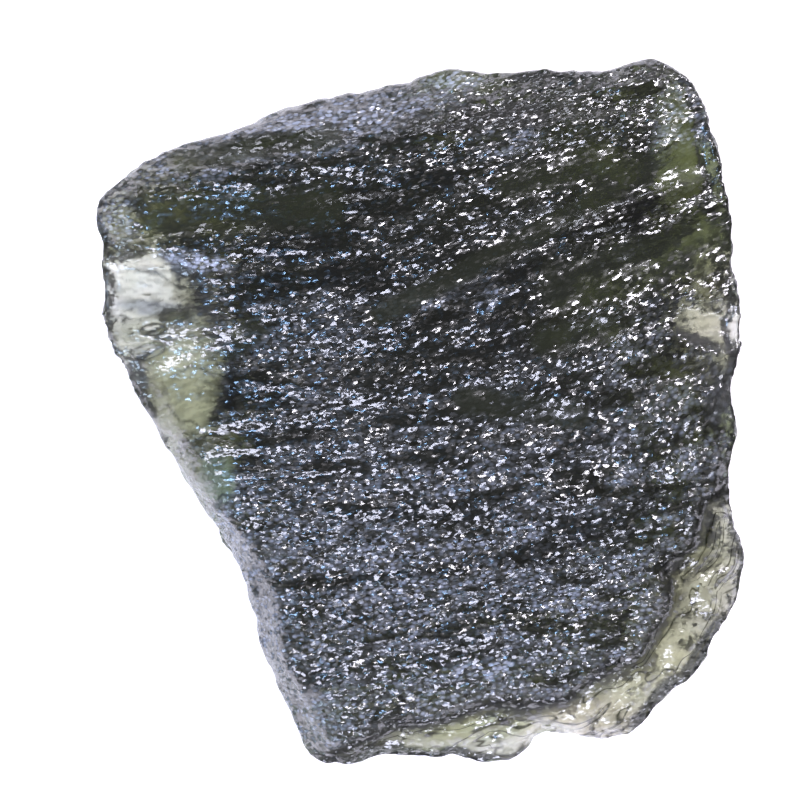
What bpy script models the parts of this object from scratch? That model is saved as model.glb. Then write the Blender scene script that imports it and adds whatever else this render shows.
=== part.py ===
"""Raw moldavite: one broken, striated block of natural green glass.

All figures below are millimetres, and MM turns them into metres. +Z is up, +X is the stone's right
and +Y its far edge, as it lies on its flat spot at z = 0. The origin is under the middle of its box.
"""

import bmesh
import bpy
import numpy as np
from mathutils import Vector, noise

MM = 0.001

# Main sizes
PLATEAU_HEIGHT = 7.35
DOME_DROP = 0.45
DOME_RADIUS = 8.5
TRIANGLE_BUDGET = 9000
GRID_COLUMNS = 84
GRID_ROWS = 100
GRID_RIM_BIAS = 0.86

# The edge as seen from above, anticlockwise from the right-hand side
OUTLINE = [
    (8.80, 1.10), (8.90, 2.80), (8.58, 4.18), (8.68, 4.90), (8.50, 5.75), (8.22, 7.48),
    (7.84, 8.78), (7.30, 9.42), (6.23, 9.68), (5.40, 9.48), (3.62, 9.34), (1.80, 9.38),
    (1.03, 9.53), (0.32, 9.27), (-0.73, 8.90), (-2.05, 8.73), (-3.12, 8.62), (-4.61, 8.12),
    (-6.15, 7.50), (-7.58, 6.95), (-8.45, 6.12), (-8.87, 5.47), (-8.68, 4.45), (-8.60, 3.69),
    (-8.56, 2.39), (-8.18, 1.32), (-7.22, -0.44), (-5.95, -2.70), (-5.10, -4.10), (-4.47, -5.14),
    (-4.31, -6.68), (-3.56, -8.25), (-2.95, -9.27), (-2.41, -9.62), (-1.06, -9.60), (1.25, -9.62),
    (2.79, -9.49), (3.29, -8.99), (3.70, -8.83), (5.13, -9.07), (6.04, -8.69), (7.19, -7.55),
    (8.20, -6.25), (8.82, -5.17), (8.96, -4.21), (8.87, -3.52), (8.62, -2.14), (8.66, 0.05),
]
OUTLINE_STEPS = 6

# Chips along the edge, seen from above and from the side: size and how far they move it
RIM_CHIPS = [(0.55, 0.07), (0.24, 0.035)]
RIM_CHIP_SIZE = 0.7
RIM_CHIP_HEIGHT = 0.12

# Compass bearing in degrees from +X, then the rim's height, how far in the top's shoulder reaches,
# how far in the underside's slope reaches, and how full that slope is: 0 is a cone, 1 is round
RIM_STATIONS = [
    (5, 6.8, 0.5, 5.0, 0.1), (30, 6.8, 0.5, 4.8, 0.1), (48, 6.5, 1.0, 4.6, 0.3),
    (65, 6.2, 1.6, 4.2, 0.7), (90, 6.1, 1.8, 4.0, 1.0), (115, 6.0, 1.8, 4.0, 1.0),
    (140, 6.1, 1.3, 4.0, 0.8), (152, 6.3, 0.9, 4.4, 0.3), (162, 6.3, 0.9, 4.8, 0.1),
    (176, 6.0, 1.0, 4.6, 0.1), (200, 5.8, 0.9, 4.0, 0.7), (225, 5.7, 0.8, 3.6, 1.0),
    (248, 5.6, 0.8, 3.6, 1.0), (262, 5.6, 0.8, 4.2, 0.8), (285, 5.5, 0.8, 5.0, 0.5),
    (310, 5.5, 0.8, 5.2, 0.3), (335, 5.7, 0.8, 5.2, 0.2), (350, 6.7, 0.6, 5.0, 0.1),
]
ROUND_SIDE_POWER = 2.4
CONE_SIDE_POWER = 1.25
RELIEF_AT_RIM = 0.25
RELIEF_FADE = 0.7

# The line where the plateau breaks off, and the flange that runs from its foot out to the rim
BREAK_LINE = [
    (9.60, -1.60), (7.74, -2.42), (7.47, -3.60), (6.72, -4.32), (6.75, -5.14), (6.45, -5.78),
    (5.95, -6.66), (4.91, -7.15), (4.00, -7.81), (2.93, -7.89), (1.75, -7.87), (0.34, -8.39),
    (-0.65, -8.44), (-2.30, -9.30), (-3.20, -10.40),
]
BREAK_WIDTH = 0.26
FLANGE_TOP = 6.72
FLANGE_CURVE = 1.2
FLANGE_RIPPLE = 0.11
FLANGE_RIPPLES_PER_MM = 0.85
FLANGE_RIPPLE_FADE = 0.5
FLANGE_SWIRL = 1.3
FLANGE_SWIRL_SIZE = (1.9, 1.5)
FLANGE_EDGE_DROP = 0.32
FLANGE_EDGE_WIDTH = 0.38
FLANGE_THICK_AT_FOOT = 1.50
FLANGE_THICK_AT_RIM = 0.65
FLANGE_THICK_CHANGE = 0.55
FLANGE_THICK_SIZE = (1.6, 1.1)
UNDERCUT_SLOPE = 1.4

# Shallow shells broken out of the top along the edge: middle, reach along x and y, and depth
SCOOPS = [
    ((-8.70, 3.40), (2.90, 1.25), 0.60), ((-7.20, 0.90), (2.40, 1.60), 0.45),
    ((8.70, 2.35), (1.70, 0.75), 0.50), ((8.80, 7.10), (1.90, 1.60), 0.45),
    ((-3.60, -8.50), (1.50, 1.30), 0.50), ((8.90, -1.00), (0.70, 2.40), 0.50),
]
SCOOP_FADE = 0.5

# Long hollows along the flow: two ends, half-width and depth
TROUGHS = [
    ((-1.1, 2.6), (6.1, 6.4), 0.42, 0.08), ((-7.0, 5.3), (-2.4, 5.6), 0.55, 0.07),
    ((-6.6, 6.9), (-2.4, 7.5), 0.32, 0.05), ((2.6, 6.2), (5.0, 6.9), 0.36, 0.05),
    ((5.0, 6.3), (7.6, 6.9), 0.40, 0.05), ((3.9, 3.4), (8.2, 4.6), 0.62, 0.08),
    ((3.4, 1.9), (5.1, 2.2), 0.32, 0.05), ((1.3, 0.3), (4.3, -0.1), 0.55, 0.07),
    ((-2.8, -1.7), (1.6, -0.9), 0.34, 0.06), ((-3.2, -4.2), (2.4, -3.3), 0.36, 0.06),
    ((2.0, -5.1), (6.2, -4.9), 0.34, 0.06), ((-5.2, 1.7), (-1.4, 2.7), 0.34, 0.06),
]

# Raised lips beside the hollows, in the same form, with height in place of depth
LIPS = [
    ((-3.6, 3.4), (5.6, 5.3), 0.26, 0.11), ((-4.4, 0.6), (2.2, 1.3), 0.28, 0.09),
    ((-1.4, 7.4), (6.6, 8.1), 0.30, 0.10), ((-4.6, -0.8), (3.4, -0.9), 0.24, 0.08),
    ((-3.4, -2.9), (6.6, -2.2), 0.26, 0.09), ((-2.8, -6.2), (4.8, -6.0), 0.28, 0.09),
    ((4.8, 8.9), (7.2, 9.0), 0.30, 0.20),
]
GROOVE_END_TAPER = 0.25
GROOVE_END_DEPTH = 0.25

# Thin places, hollowed from below: middle, reach along x and y, and the glass left there
WINDOWS = [
    ((-7.60, 3.42), (1.15, 0.80), 0.55), ((-6.10, 0.75), (0.90, 1.20), 1.70),
    ((-5.45, -1.80), (0.50, 0.60), 1.60), ((-8.40, 5.20), (0.45, 0.60), 1.80),
    ((0.90, 9.10), (0.70, 0.35), 1.30), ((7.30, 7.30), (0.90, 1.30), 2.00),
    ((7.90, 2.38), (0.85, 0.45), 0.95), ((-3.20, -8.60), (0.70, 0.70), 1.40),
]
WINDOW_SLOPE = 1.9
WINDOW_ROOF_RISE = 0.25
WINDOW_WARP = 0.75
WINDOW_WARP_SIZE = 1.6
WINDOW_BLEND = 0.45
THINNEST = 0.22
THIN_RIM_WIDTH = 0.35

# Two oval pits by the left edge: middle, half-length, half-width, depth and turn in degrees
OVAL_PITS = [
    ((-7.27, 2.25), 0.40, 0.19, 0.20, 8.0),
    ((-7.40, 1.66), 0.52, 0.24, 0.24, 12.0),
]

# Flow lines: level at the left, then bending over a length to climb at a slope, far and near
FLOW_SLOPE_FAR = 0.30
FLOW_SLOPE_NEAR = 0.10
FLOW_NEAR_Y = -4.0
FLOW_FAR_Y = 5.0
FLOW_BEND_PLACE = -2.5
FLOW_BEND_LENGTH = 2.0

# Chips on the side walls: size and depth, and how far in from the rim they reach
WALL_CHIPS = [(1.7, 0.22), (0.75, 0.10)]
WALL_REACH = 2.2

# Ridge layers on the top: length along the flow, pitch across it, height
TOP_LAYERS = [(4.6, 0.95, 0.075), (2.6, 0.50, 0.045), (1.3, 0.30, 0.018)]
RIDGE_SHARPNESS = 2.6

# The underside's broad lumps, size and height, and the hollows in its skin, spacing and depth
UNDER_LUMPS = [(3.1, 0.80), (1.5, 0.34), (0.8, 0.13)]
UNDER_PITS = [(2.3, 0.40), (1.15, 0.17)]
UNDER_PIT_STEEPNESS = 1.6
UNDER_FADE = 1.2

# Where it rests: everything below this level is worn off flat
FLAT_SPOT_CUT = 0.22
FLAT_SPOT_CENTRE = (0.55, 1.0)
FLAT_SPOT_REACH = (4.4, 4.6)
BELLY_DROP = 0.62
BELLY_REACH = 1.15
RESTING_BLOCK = 30.0

GLASS_COLOUR = (0.17, 0.20, 0.11, 1.0)
GLASS_IOR = 1.49
GLASS_ROUGHNESS = 0.14
ABSORPTION_COLOUR = (0.56, 0.60, 0.42, 1.0)
ABSORPTION_DENSITY = 900.0


def clear_scene():
    for obj in list(bpy.data.objects):
        bpy.data.objects.remove(obj, do_unlink=True)


def smooth_step(values):
    """0 below 0, 1 above 1, and a smooth ramp between."""
    ramp = np.clip(values, 0.0, 1.0)
    return ramp * ramp * (3.0 - 2.0 * ramp)


def closed_curve(points, steps):
    """A smooth closed curve through the points, with so many steps between each two."""
    points = np.array(points)
    before, after, beyond = (np.roll(points, shift, axis=0) for shift in (1, -1, -2))
    samples = []
    for t in np.linspace(0.0, 1.0, steps, endpoint=False):
        samples.append(
            0.5 * (2.0 * points + (after - before) * t
                   + (2.0 * before - 5.0 * points + 4.0 * after - beyond) * t ** 2
                   + (3.0 * points - before - 3.0 * after + beyond) * t ** 3)
        )
    return np.stack(samples, axis=1).reshape(-1, 2)


def noise_field(points, scale, seed):
    """Smooth noise between -1 and 1 at each 2-D point; scale is a pair of lengths."""
    place = Vector((0.0, 0.0, seed))
    values = np.empty(len(points))
    for index, (x, y) in enumerate(points):
        place.x = x / scale[0]
        place.y = y / scale[1]
        values[index] = noise.noise(place)
    return values


def noise_field_3d(points, scale, seed):
    """Smooth noise between -1 and 1 at each 3-D point."""
    shift = Vector((0.0, 0.0, seed))
    return np.array([noise.noise(Vector(point) / scale + shift) for point in points])


def cell_pits(points, spacing, seed):
    """Round hollows packed side by side: 1 in the middle of each, 0 on the walls between them."""
    values = np.empty(len(points))
    for index, (x, y) in enumerate(points):
        near, second = noise.voronoi((x / spacing, y / spacing, seed))[0][:2]
        values[index] = min(1.0, (second - near) * UNDER_PIT_STEEPNESS)
    return smooth_step(values)


def segment_distance(points, start, end):
    """Distance from each point to a straight segment, and how far along it the nearest spot is."""
    start = np.array(start)
    span = np.array(end) - start
    along = np.clip((points - start) @ span / (span @ span), 0.0, 1.0)
    return np.linalg.norm(points - start - along[:, None] * span, axis=1), along


def inside_polygon(points, corners):
    """Which points lie inside a closed polygon."""
    x, y = points.T
    inside = np.zeros(len(points), dtype=bool)
    for (x0, y0), (x1, y1) in zip(corners, corners[1:] + corners[:1]):
        if y0 == y1:
            continue
        crosses = (y0 > y) != (y1 > y)
        inside ^= crosses & (x < x0 + (y - y0) * (x1 - x0) / (y1 - y0))
    return inside


def distance_beyond(points, line):
    """Distance to an open line that runs from right to left: positive in front of it, near -Y."""
    far = 30.0
    in_front = line + [(line[-1][0], -far), (far, -far), (far, line[0][1])]
    best = np.full(len(points), np.inf)
    for start, end in zip(line[:-1], line[1:]):
        best = np.minimum(best, segment_distance(points, start, end)[0])
    return np.where(inside_polygon(points, in_front), best, -best)


def edge_reach(curve, bearings):
    """Distance from the middle to the edge curve at each bearing, in radians."""
    angles = np.arctan2(curve[:, 1], curve[:, 0])
    order = np.argsort(angles)
    return np.interp(bearings, angles[order], np.hypot(*curve.T)[order], period=2.0 * np.pi)


def rim_profile(bearings):
    """Rim height, shoulder, undercut and fullness at each bearing, eased between the stations."""
    stations = np.array(RIM_STATIONS, dtype=float)
    turned = np.degrees(bearings) % 360.0
    return [np.interp(turned, stations[:, 0], stations[:, column], period=360.0)
            for column in (1, 2, 3, 4)]


def flow_coordinate(points):
    """Each point's place across the flow lines: the same number all along one line."""
    x, y = points.T
    slope = FLOW_SLOPE_NEAR + (FLOW_SLOPE_FAR - FLOW_SLOPE_NEAR) * smooth_step(
        (y - FLOW_NEAR_Y) / (FLOW_FAR_Y - FLOW_NEAR_Y))
    past_bend = FLOW_BEND_LENGTH * np.log1p(np.exp((x - FLOW_BEND_PLACE) / FLOW_BEND_LENGTH))
    return y - slope * past_bend


def grooves(points, lines):
    """The sum of long rounded hollows that fade out towards their ends."""
    total = np.zeros(len(points))
    for start, end, half_width, depth in lines:
        distance, along = segment_distance(points, start, end)
        fade = smooth_step(along / GROOVE_END_TAPER) * smooth_step((1.0 - along) / GROOVE_END_TAPER)
        strength = GROOVE_END_DEPTH + (1.0 - GROOVE_END_DEPTH) * fade
        total += depth * strength * np.exp(-(distance / half_width) ** 2)
    return total


def top_relief(points):
    """Ridges, troughs and lips that follow the flow."""
    across = flow_coordinate(points)
    flow = np.column_stack([points[:, 0], across])
    relief = np.zeros(len(points))
    for index, (length, pitch, height) in enumerate(TOP_LAYERS):
        wave = noise_field(flow, (length, pitch), seed=3.1 + 7.7 * index)
        relief += height * (1.0 - RIDGE_SHARPNESS * np.abs(wave))
    return relief + grooves(points, LIPS) - grooves(points, TROUGHS)


def flange_surfaces(points, beyond, to_rim, rim_height):
    """The broken flange's top, shallow shell-like ripples out to the rim, and its hollow underside."""
    outside = np.maximum(beyond, 0.0)
    share = outside / np.maximum(outside + to_rim, 0.05)
    slope = FLANGE_TOP + (rim_height + FLANGE_EDGE_DROP - FLANGE_TOP) * share ** FLANGE_CURVE
    slope = slope - FLANGE_EDGE_DROP * (1.0 - smooth_step(to_rim / FLANGE_EDGE_WIDTH))
    swirl = noise_field(points, FLANGE_SWIRL_SIZE, seed=41.0)
    ripple = np.sin(2.0 * np.pi * (outside * FLANGE_RIPPLES_PER_MM + swirl * FLANGE_SWIRL))
    fade = smooth_step(to_rim / FLANGE_RIPPLE_FADE) * smooth_step(outside / FLANGE_RIPPLE_FADE)
    top = slope + FLANGE_RIPPLE * ripple * fade
    thickness = FLANGE_THICK_AT_FOOT + (FLANGE_THICK_AT_RIM - FLANGE_THICK_AT_FOOT) * share
    thickness = thickness + FLANGE_THICK_CHANGE * noise_field(points, FLANGE_THICK_SIZE, seed=53.0)
    return top, slope - thickness + UNDERCUT_SLOPE * np.minimum(beyond, 0.0)


def smooth_maximum(first, second, blend):
    """The larger of the two, with the crease between them rounded."""
    return 0.5 * (first + second + np.sqrt((first - second) ** 2 + blend ** 2))


def warped_plan(points):
    """Plan points shifted by noise, so that what is drawn on them gets a ragged edge."""
    size = (WINDOW_WARP_SIZE, WINDOW_WARP_SIZE)
    shift = np.column_stack([noise_field(points, size, seed) for seed in (101.0, 113.0)])
    return points + WINDOW_WARP * shift


def window_roof(points, top, middle, sizes, thickness, middle_top):
    """The underside over one thin place: near the top inside it, and falling steeply around it."""
    spread = np.hypot(*((points - np.array(middle)) / np.array(sizes)).T)
    level = np.minimum(top - thickness, middle_top - thickness + WINDOW_ROOF_RISE)
    return level - WINDOW_SLOPE * np.maximum(spread - 1.0, 0.0) * min(sizes)


def surface_heights(points, curve):
    """Top and underside heights at each point of the plan."""
    bearings = np.arctan2(points[:, 1], points[:, 0])
    rim_height, shoulder, undercut, fullness = rim_profile(bearings)
    to_rim = np.full(len(points), np.inf)
    for start, end in zip(curve, np.roll(curve, -1, axis=0)):
        to_rim = np.minimum(to_rim, segment_distance(points, start, end)[0])

    radius = np.hypot(*points.T)
    crown = PLATEAU_HEIGHT - DOME_DROP * (radius / DOME_RADIUS) ** 2
    rise = np.sin(np.pi / 2.0 * np.clip(to_rim / shoulder, 0.0, 1.0))
    top = rim_height + (crown - rim_height) * rise
    inside = smooth_step(to_rim / RELIEF_FADE)
    top = top + top_relief(points) * (RELIEF_AT_RIM + (1.0 - RELIEF_AT_RIM) * inside)

    for middle, sizes, depth in SCOOPS:
        spread = np.hypot(*((points - np.array(middle)) / np.array(sizes)).T)
        top = top - depth * np.maximum(1.0 - spread ** 2, 0.0) * smooth_step(to_rim / SCOOP_FADE)

    beyond = distance_beyond(points, BREAK_LINE)
    flange, flange_under = flange_surfaces(points, beyond, to_rim, rim_height)
    broken = smooth_step(beyond / BREAK_WIDTH + 0.5)
    top = top + (np.minimum(top, flange) - top) * broken

    hollow = 1.0 - np.clip(to_rim / undercut, 0.0, 1.0)
    round_side = 1.0 - np.sqrt(1.0 - hollow ** ROUND_SIDE_POWER)
    under = rim_height * (fullness * round_side + (1.0 - fullness) * hollow ** CONE_SIDE_POWER)
    skin = np.zeros(len(points))
    for index, (spacing, depth) in enumerate(UNDER_PITS):
        skin += depth * cell_pits(points, spacing, seed=61.0 + 9.0 * index)
    for index, (size, height) in enumerate(UNDER_LUMPS):
        skin += height * noise_field(points, (size, size), seed=71.0 + 9.0 * index)
    under = under + skin * smooth_step(to_rim / UNDER_FADE)

    reach = (points - np.array(FLAT_SPOT_CENTRE)) / np.array(FLAT_SPOT_REACH)
    belly = smooth_step(BELLY_REACH - np.hypot(*reach.T))
    under = under - (BELLY_DROP + skin) * belly + FLAT_SPOT_CUT * (1.0 - belly)
    under = np.maximum(under, FLAT_SPOT_CUT * (1.0 - belly) - BELLY_DROP * belly)

    under = smooth_maximum(under, flange_under, WINDOW_BLEND)
    warped = warped_plan(points)
    for middle, sizes, thickness in WINDOWS:
        nearest = np.argmin(np.hypot(*(warped - np.array(middle)).T))
        roof = window_roof(warped, top, middle, sizes, thickness, top[nearest])
        under = smooth_maximum(under, roof, WINDOW_BLEND)
    under = np.minimum(under, top - THINNEST * smooth_step(to_rim / THIN_RIM_WIDTH))
    return top, under, rim_height


def grid_side(count):
    """Grid positions from -1 to 1, a little closer together towards the rim."""
    even = np.linspace(-1.0, 1.0, count + 1)
    return np.sign(even) * np.abs(even) ** GRID_RIM_BIAS


def plan_grid(curve):
    """A grid of plan points stretched from a square to the edge curve, and each one's rim share."""
    across, along = np.meshgrid(grid_side(GRID_COLUMNS), grid_side(GRID_ROWS))
    share = np.maximum(np.abs(across), np.abs(along))
    safe = np.where(share == 0.0, 1.0, share)
    sideways = np.abs(across) >= np.abs(along)
    flat_turn = np.where(across < 0.0, np.pi, 0.0) + np.pi / 4.0 * along / np.where(
        sideways, np.where(across == 0.0, safe, across), safe)
    steep_turn = np.where(along < 0.0, -np.pi / 2.0, np.pi / 2.0) - np.pi / 4.0 * across / np.where(
        sideways, safe, np.where(along == 0.0, safe, along))
    turn = np.where(sideways, flat_turn, steep_turn)
    reach = share * edge_reach(curve, (turn + np.pi) % (2.0 * np.pi) - np.pi)
    points = np.stack([reach * np.cos(turn), reach * np.sin(turn)], axis=-1)
    return points.reshape(-1, 2), share.reshape(-1)


def ragged_curve():
    """The edge curve with small chips along it."""
    curve = closed_curve(OUTLINE, OUTLINE_STEPS)
    outward = curve / np.hypot(*curve.T)[:, None]
    push = np.zeros(len(curve))
    for index, (size, reach) in enumerate(RIM_CHIPS):
        push += reach * noise_field(curve, (size, size), seed=17.0 + 12.0 * index)
    return curve + outward * push[:, None]


def chip_walls(sheet, share, curve):
    """Push a sheet's outer band in and out sideways, so that the walls are broken into facets."""
    plan = sheet[:, :2]
    to_middle = np.maximum(np.hypot(*plan.T), 1e-6)
    outward = plan / to_middle[:, None]
    rim_distance = (1.0 - share) * edge_reach(curve, np.arctan2(plan[:, 1], plan[:, 0]))
    weight = smooth_step(1.0 - rim_distance / WALL_REACH)
    push = np.zeros(len(sheet))
    for index, (size, depth) in enumerate(WALL_CHIPS):
        push += depth * noise_field_3d(sheet, size, seed=91.0 + 13.0 * index)
    moved = sheet.copy()
    moved[:, :2] += outward * (push * weight)[:, None]
    return moved


def stone_mesh():
    """The closed stone: a top sheet and an underside sheet that share their rim."""
    curve = ragged_curve()
    points, share = plan_grid(curve)
    top, under, rim_height = surface_heights(points, curve)
    on_rim = share > 0.999999
    chip = RIM_CHIP_HEIGHT * noise_field(points, (RIM_CHIP_SIZE, RIM_CHIP_SIZE), seed=83.0)
    top = np.where(on_rim, rim_height + chip, top)

    count = len(points)
    top_sheet = chip_walls(np.column_stack([points, top]), share, curve)
    under_sheet = chip_walls(np.column_stack([points, under]), share, curve)
    under_index = np.where(on_rim, np.arange(count), np.cumsum(~on_rim) - 1 + count)
    vertices = np.vstack([top_sheet, under_sheet[~on_rim]]) * MM

    faces = []
    width = GRID_COLUMNS + 1
    for row in range(GRID_ROWS):
        for column in range(GRID_COLUMNS):
            corner = row * width + column
            ring = [corner, corner + 1, corner + width + 1, corner + width]
            faces.append(ring)
            faces.append([int(under_index[index]) for index in reversed(ring)])
    mesh = bpy.data.meshes.new("moldavite")
    mesh.from_pydata(vertices.tolist(), [], faces)
    return mesh


def glass_material():
    material = bpy.data.materials.new("moldavite_glass")
    material.use_nodes = True
    nodes = material.node_tree.nodes
    links = material.node_tree.links
    shader = nodes["Principled BSDF"]
    shader.inputs["Base Color"].default_value = GLASS_COLOUR
    shader.inputs["Roughness"].default_value = GLASS_ROUGHNESS
    shader.inputs["Metallic"].default_value = 0.0
    shader.inputs["IOR"].default_value = GLASS_IOR
    shader.inputs["Transmission Weight"].default_value = 1.0
    absorption = nodes.new("ShaderNodeVolumeAbsorption")
    absorption.inputs["Color"].default_value = ABSORPTION_COLOUR
    absorption.inputs["Density"].default_value = ABSORPTION_DENSITY
    links.new(absorption.outputs["Volume"], nodes["Material Output"].inputs["Volume"])
    return material


def cutter(name, mesh):
    """A guide object that only takes material away from the stone."""
    obj = bpy.data.objects.new(name, mesh)
    bpy.context.collection.objects.link(obj)
    obj.hide_render = True
    obj.display_type = "WIRE"
    return obj


def cut(stone, tool):
    modifier = stone.modifiers.new(tool.name, "BOOLEAN")
    modifier.operation = "DIFFERENCE"
    modifier.solver = "EXACT"
    modifier.object = tool


def oval_pit(name, place, surface, half_length, half_width, depth, turn):
    """A small ellipsoid whose lower half sinks into the surface."""
    mesh = bpy.data.meshes.new(name)
    shape = bmesh.new()
    bmesh.ops.create_uvsphere(shape, u_segments=14, v_segments=8, radius=1.0)
    bmesh.ops.scale(shape, vec=Vector((half_length, half_width, depth)) * MM, verts=shape.verts)
    shape.to_mesh(mesh)
    shape.free()
    tool = cutter(name, mesh)
    tool.location = (place[0] * MM, place[1] * MM, (surface + 0.02) * MM)
    tool.rotation_euler = (0.0, 0.0, np.radians(turn))
    return tool


def resting_cut():
    """A block below z = 0 that wears the belly off flat."""
    mesh = bpy.data.meshes.new("resting_cut")
    shape = bmesh.new()
    bmesh.ops.create_cube(shape, size=RESTING_BLOCK * MM)
    bmesh.ops.translate(shape, vec=(0.0, 0.0, -RESTING_BLOCK / 2.0 * MM), verts=shape.verts)
    shape.to_mesh(mesh)
    shape.free()
    return cutter("resting_cut", mesh)


def build_stone():
    mesh = stone_mesh()
    mesh.materials.append(glass_material())
    stone = bpy.data.objects.new("moldavite", mesh)
    bpy.context.collection.objects.link(stone)

    thin_out = stone.modifiers.new("facets", "DECIMATE")
    thin_out.decimate_type = "COLLAPSE"
    thin_out.ratio = TRIANGLE_BUDGET / (4.0 * GRID_COLUMNS * GRID_ROWS)
    thin_out.use_collapse_triangulate = True

    middles = np.array([pit[0] for pit in OVAL_PITS])
    heights, _, _ = surface_heights(middles, ragged_curve())
    for index, (place, half_length, half_width, depth, turn) in enumerate(OVAL_PITS):
        cut(stone, oval_pit(f"oval_pit_{index + 1}", place, heights[index],
                            half_length, half_width, depth, turn))
    cut(stone, resting_cut())
    return stone


clear_scene()
build_stone()
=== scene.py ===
"""A raw moldavite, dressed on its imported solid: finer flow ridges and pits, and clear dark green glass."""

import math
from types import SimpleNamespace

import bmesh
import bpy
import numpy as np
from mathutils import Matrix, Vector, kdtree, noise


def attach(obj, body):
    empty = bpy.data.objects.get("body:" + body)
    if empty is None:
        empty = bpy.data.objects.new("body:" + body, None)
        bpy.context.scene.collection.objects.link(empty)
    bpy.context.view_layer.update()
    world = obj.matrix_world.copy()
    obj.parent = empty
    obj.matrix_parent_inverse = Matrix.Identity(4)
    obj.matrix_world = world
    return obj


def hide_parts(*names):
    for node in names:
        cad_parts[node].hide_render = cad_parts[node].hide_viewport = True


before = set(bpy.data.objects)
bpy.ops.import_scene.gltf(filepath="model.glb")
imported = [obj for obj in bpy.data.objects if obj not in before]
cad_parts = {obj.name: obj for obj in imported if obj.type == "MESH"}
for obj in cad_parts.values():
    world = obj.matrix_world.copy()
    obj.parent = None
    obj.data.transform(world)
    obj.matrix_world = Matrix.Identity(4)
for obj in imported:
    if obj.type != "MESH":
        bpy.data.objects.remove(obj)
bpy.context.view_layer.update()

MM = 0.001

# Places and lengths on the stone are in millimetres, and a place in plan is (x, y) seen from above.
# A pair whose name ends in RISE makes a mask grow from 0 to 1 between its values, and FADE makes it fall.

# The skin's mesh: how it is rounded, split evenly, thinned underneath, and split again round the pits
MERGE_DISTANCE = 1e-4 * MM
ROUNDING_LEVELS = 2
SKIN_VOXEL = 0.076 * MM
TRIANGLE_LIMIT = 178000
THINNED_FADE = (-0.25, 0.25)
THINNING_STEPS = 10
FINE_CORNERS = ((-7.98, 1.36), (-6.86, 2.52))
FINE_SPLITS = 2
FINE_FACING = 0.5

# Flow lines, as on the solid: level at the left, then bending over a length to climb at a slope
FLOW_SLOPE_FAR = 0.30
FLOW_SLOPE_NEAR = 0.10
FLOW_SLOPE_RISE = (-4.0, 5.0)
FLOW_BEND_PLACE = -2.5
FLOW_BEND_LENGTH = 2.0

# Where the plateau breaks off, as on the solid, and a corner well outside the stone
BREAK_LINE = [
    (9.60, -1.60), (7.74, -2.42), (7.47, -3.60), (6.72, -4.32), (6.75, -5.14), (6.45, -5.78),
    (5.95, -6.66), (4.91, -7.15), (4.00, -7.81), (2.93, -7.89), (1.75, -7.87), (0.34, -8.39),
    (-0.65, -8.44), (-2.30, -9.30), (-3.20, -10.40),
]
OUTSIDE = 30.0

# Zones by how far the skin faces up: 1 is level, 0 is upright, and less than 0 is underneath
TOP_RISE = (0.25, 0.60)
SHOULDER_RISE = (-0.10, 0.10)
SKIRT_FADE = (-0.05, 0.15)
UNDERCUT_FADE = (-0.35, -0.05)
BELOW_FADE = (-0.40, -0.10)
UPRIGHT_LIMIT = 0.30

# Zones by the distance in front of the break line: the drop, its foot, and the lip's place and width
DROP_FADE = (0.30, 0.45)
FOOT_RISE = (0.06, 0.22)
LIP_PLACE = 0.04
LIP_WIDTH = 0.13
THIN_FLANGE_RISE = (0.0, 0.2)

# Layers of noise. Each has a wave length, or one each along, across and down, then a share or a height,
# and a place of its own in the noise.
FINE_RIDGES = [
    ((3.6, 0.42, 1.0), 0.028, 5.0), ((1.8, 0.25, 1.0), 0.020, 16.3), ((0.70, 0.16, 1.0), 0.013, 27.6),
]
WALL_GRAINS = [(2.0, 0.090, 23.0), (0.85, 0.050, 30.1), (0.40, 0.034, 37.2), (0.19, 0.017, 44.3)]
RIPPLE = [(0.8, 0.22, 3.0)]
RAGGED_EDGES = [(0.45, 0.45, 43.0), (0.20, 0.30, 47.0)]
GAPS = [((1.5, 0.42, 1.0), 1.0, 61.0), ((0.6, 0.22, 1.0), 0.6, 67.0)]
BANDS = [((4.6, 0.95, 2.0), 1.0, 91.0), ((1.9, 0.40, 1.0), 0.6, 97.0)]
FINE_STREAKS = [((0.9, 0.11, 1.0), 1.0, 71.0), ((0.35, 0.07, 1.0), 0.8, 73.0)]

# What the noise makes: ragged edges, gaps between the scales, broad dark bands and fine streaks
RAGGED_RISE = (-0.625, -0.125)
GAP_RISE = (0.06, 0.40)
BAND_RISE = (0.18, 0.53)
FINE_STREAK_RISE = (-0.10, 0.15)

# Relief: how sharp the fine ridges are, what smooth places take from them, and the flange's share of grains
RIDGE_SHARPNESS = 2.4
RIDGE_LOSS_STREAKS = 0.6
RIDGE_LOSS_GLASSY = 0.8
FLANGE_GRAINS = 0.50

# Round dimples on the walls and below, as etching leaves them: spacing and depth, then how much of the
# spacing one reaches over, the mean that keeps the skin in place, and their share on upright skin
WALL_DIMPLES = [(1.50, 0.20), (0.66, 0.085)]
DIMPLE_REACH = 0.62
DIMPLE_MEAN = 0.4
UPRIGHT_DIMPLES = 0.45

# The height over which the relief starts above the spot that the stone rests on
RESTING_HEIGHT = 0.15

# Smooth streaks with few scales: two ends and half-width
SMOOTH_STREAKS = [
    ((-7.0, 5.3), (-2.6, 5.6), 0.55), ((-6.6, 6.9), (-2.4, 7.5), 0.28), ((2.6, 6.2), (5.0, 6.9), 0.40),
    ((5.0, 6.3), (7.6, 6.9), 0.50), ((3.9, 3.4), (8.2, 4.6), 0.65), ((3.4, 1.9), (5.1, 2.2), 0.34),
    ((-1.1, 2.6), (6.1, 6.4), 0.26), ((1.3, 0.3), (4.3, -0.1), 0.34), ((-5.2, 1.7), (-4.4, 2.3), 0.30),
]
STREAK_FADE = (0.6, 1.6)

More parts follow.
